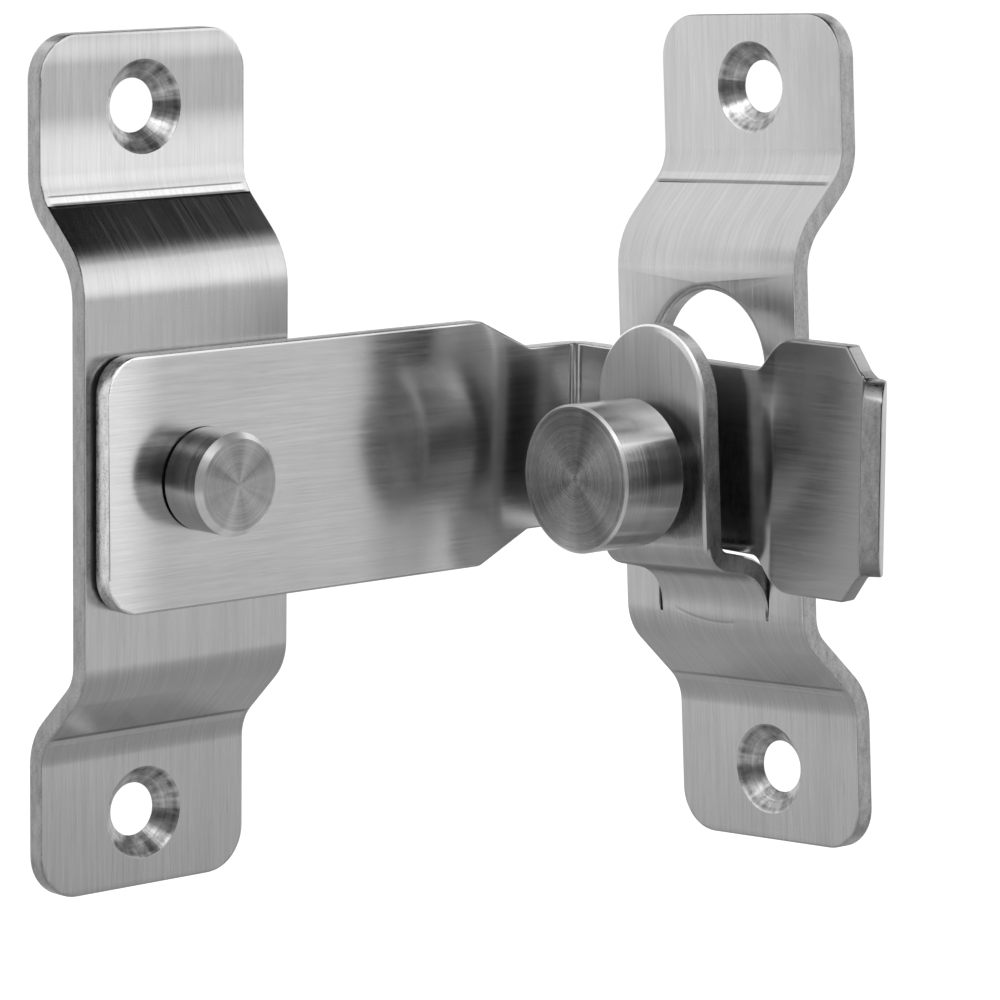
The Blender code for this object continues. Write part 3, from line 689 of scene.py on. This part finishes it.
def seen_directly(sh):
    """1 for what the camera sees, plain or through metal and glass, and 0 for light."""
    rays = sh.node("LightPath")
    return sh.math("MAXIMUM", rays.outputs["Is Camera Ray"],
                   sh.math("MAXIMUM", rays.outputs["Is Glossy Ray"],
                           rays.outputs["Is Transmission Ray"]))


def add_lamp(name, place, size, power):
    """Soft square lamp, turned to the middle of the latch."""
    data = bpy.data.lights.new(name, "AREA")
    data.shape = "SQUARE"
    data.size = size
    data.energy = power
    lamp = bpy.data.objects.new(name, data)
    lamp.location = place
    toward = LAMP_TARGET - Vector(place)
    lamp.rotation_euler = toward.to_track_quat("-Z", "Y").to_euler()
    scene.collection.objects.link(lamp)


def stage_card(name, centre, facing, width, height, shade, edge=None, form="rising"):
    """Card beside the set, which shows only in the metal.

    edge, if given, is (shade at the start, start, end): the card's shade fades from it,
    up the card from its foot, or outwards from its middle for the round form.
    """
    card = flat_sheet(name, 0.5)
    card.scale = (width, height, 1.0)
    card.location = centre
    card.rotation_euler = Vector(facing).to_track_quat("Z", "Y").to_euler()
    material = bpy.data.materials.new(name)
    material.use_nodes = True
    tree = material.node_tree
    sh = Shader(tree)
    glow = sh.node("Emission")
    if edge is None:
        glow.inputs["Strength"].default_value = shade
    else:
        first, start, end = edge
        place = sh.node("TexCoord").outputs["Object"]
        if form == "round":
            reach = sh.vector("LENGTH", place)
        else:
            axes = sh.node("SeparateXYZ")
            sh.put(axes.inputs[0], place)
            reach = sh.math("ADD", axes.outputs[1], 0.5)
        sh.put(glow.inputs["Strength"], sh.ramp(reach, start, end, first, shade))
    sh.put(tree.nodes["Material Output"].inputs["Surface"], glow.outputs[0])
    card.data.materials.append(material)
    card.visible_camera = False
    card.visible_shadow = False
    card.visible_diffuse = False


FLOOR_HALF = 8.0
FLOOR_DROP = 0.07
FLOOR_GLOW = 0.45


def lay_floor():
    """Pale floor that also glows a little, so that it comes out white."""
    floor = flat_sheet("floor", FLOOR_HALF)
    floor.location = (0.0, 0.0, cad_low.z - FLOOR_DROP)
    material = bpy.data.materials.new("pale floor")
    material.use_nodes = True
    tree = material.node_tree
    sh = Shader(tree)
    shader = tree.nodes["Principled BSDF"]
    shader.inputs["Base Color"].default_value = (0.85, 0.85, 0.85, 1.0)
    shader.inputs["Roughness"].default_value = 0.95
    seen = seen_directly(sh)
    glow = sh.node("Emission")
    sh.put(glow.inputs["Strength"], sh.math("MULTIPLY", seen, FLOOR_GLOW))
    both = sh.node("AddShader")
    sh.put(both.inputs[0], shader.outputs[0])
    sh.put(both.inputs[1], glow.outputs[0])
    sh.put(tree.nodes["Material Output"].inputs["Surface"], both.outputs[0])
    floor.data.materials.append(material)


ROOM_LIGHT = 0.65                # strength of the white backdrop as a light
ROOM_SEEN = 0.35                 # and what is added where it is seen


def light_room():
    """White backdrop, a little dimmer as a light than as it looks."""
    world = bpy.data.worlds.new("studio")
    scene.world = world
    world.use_nodes = True
    tree = world.node_tree
    sh = Shader(tree)
    seen = seen_directly(sh)
    background = tree.nodes["Background"]
    background.inputs["Color"].default_value = (1.0, 1.0, 1.0, 1.0)
    sh.put(background.inputs["Strength"], sh.math("MULTIPLY_ADD", seen, ROOM_SEEN, ROOM_LIGHT))


place_camera()
lay_floor()
light_room()
add_lamp("soft key", (-0.9, -0.7, 1.1), size=0.9, power=5.0)
add_lamp("soft fill", (0.9, -1.1, 0.5), size=1.0, power=2.5)

# Cards round the set. Dark ones stand overhead, behind the camera and beside it, and
# pale ones lie under the latch and stand to its right.
stage_card("card overhead right", Vector((0.425, -0.09, 0.90)) * 0.95,
           (-0.425, 0.09, -0.90), width=3.2, height=0.80, shade=0.006,
           edge=(1.2, 0.0, 0.14))
stage_card("card behind camera", (-0.36, -0.27, 0.17), (0.8, 0.6, 0.0),
           width=0.42, height=0.57, shade=0.03)
stage_card("card beside camera", (-0.117, -0.529, 0.17), (0.614, 0.789, 0.0),
           width=0.30, height=0.57, shade=0.03)
stage_card("card under", (0.05, -0.05, cad_low.z - 0.06), UPWARD,
           width=1.6, height=1.6, shade=0.73, edge=(0.40, 0.02, 0.28), form="round")
stage_card("card right", (0.85, -0.92, 0.36), (-0.68, 0.74, 0.0),
           width=1.9, height=0.98, shade=1.45, edge=(0.70, 0.05, 0.40))

scene.view_settings.view_transform = "Standard"
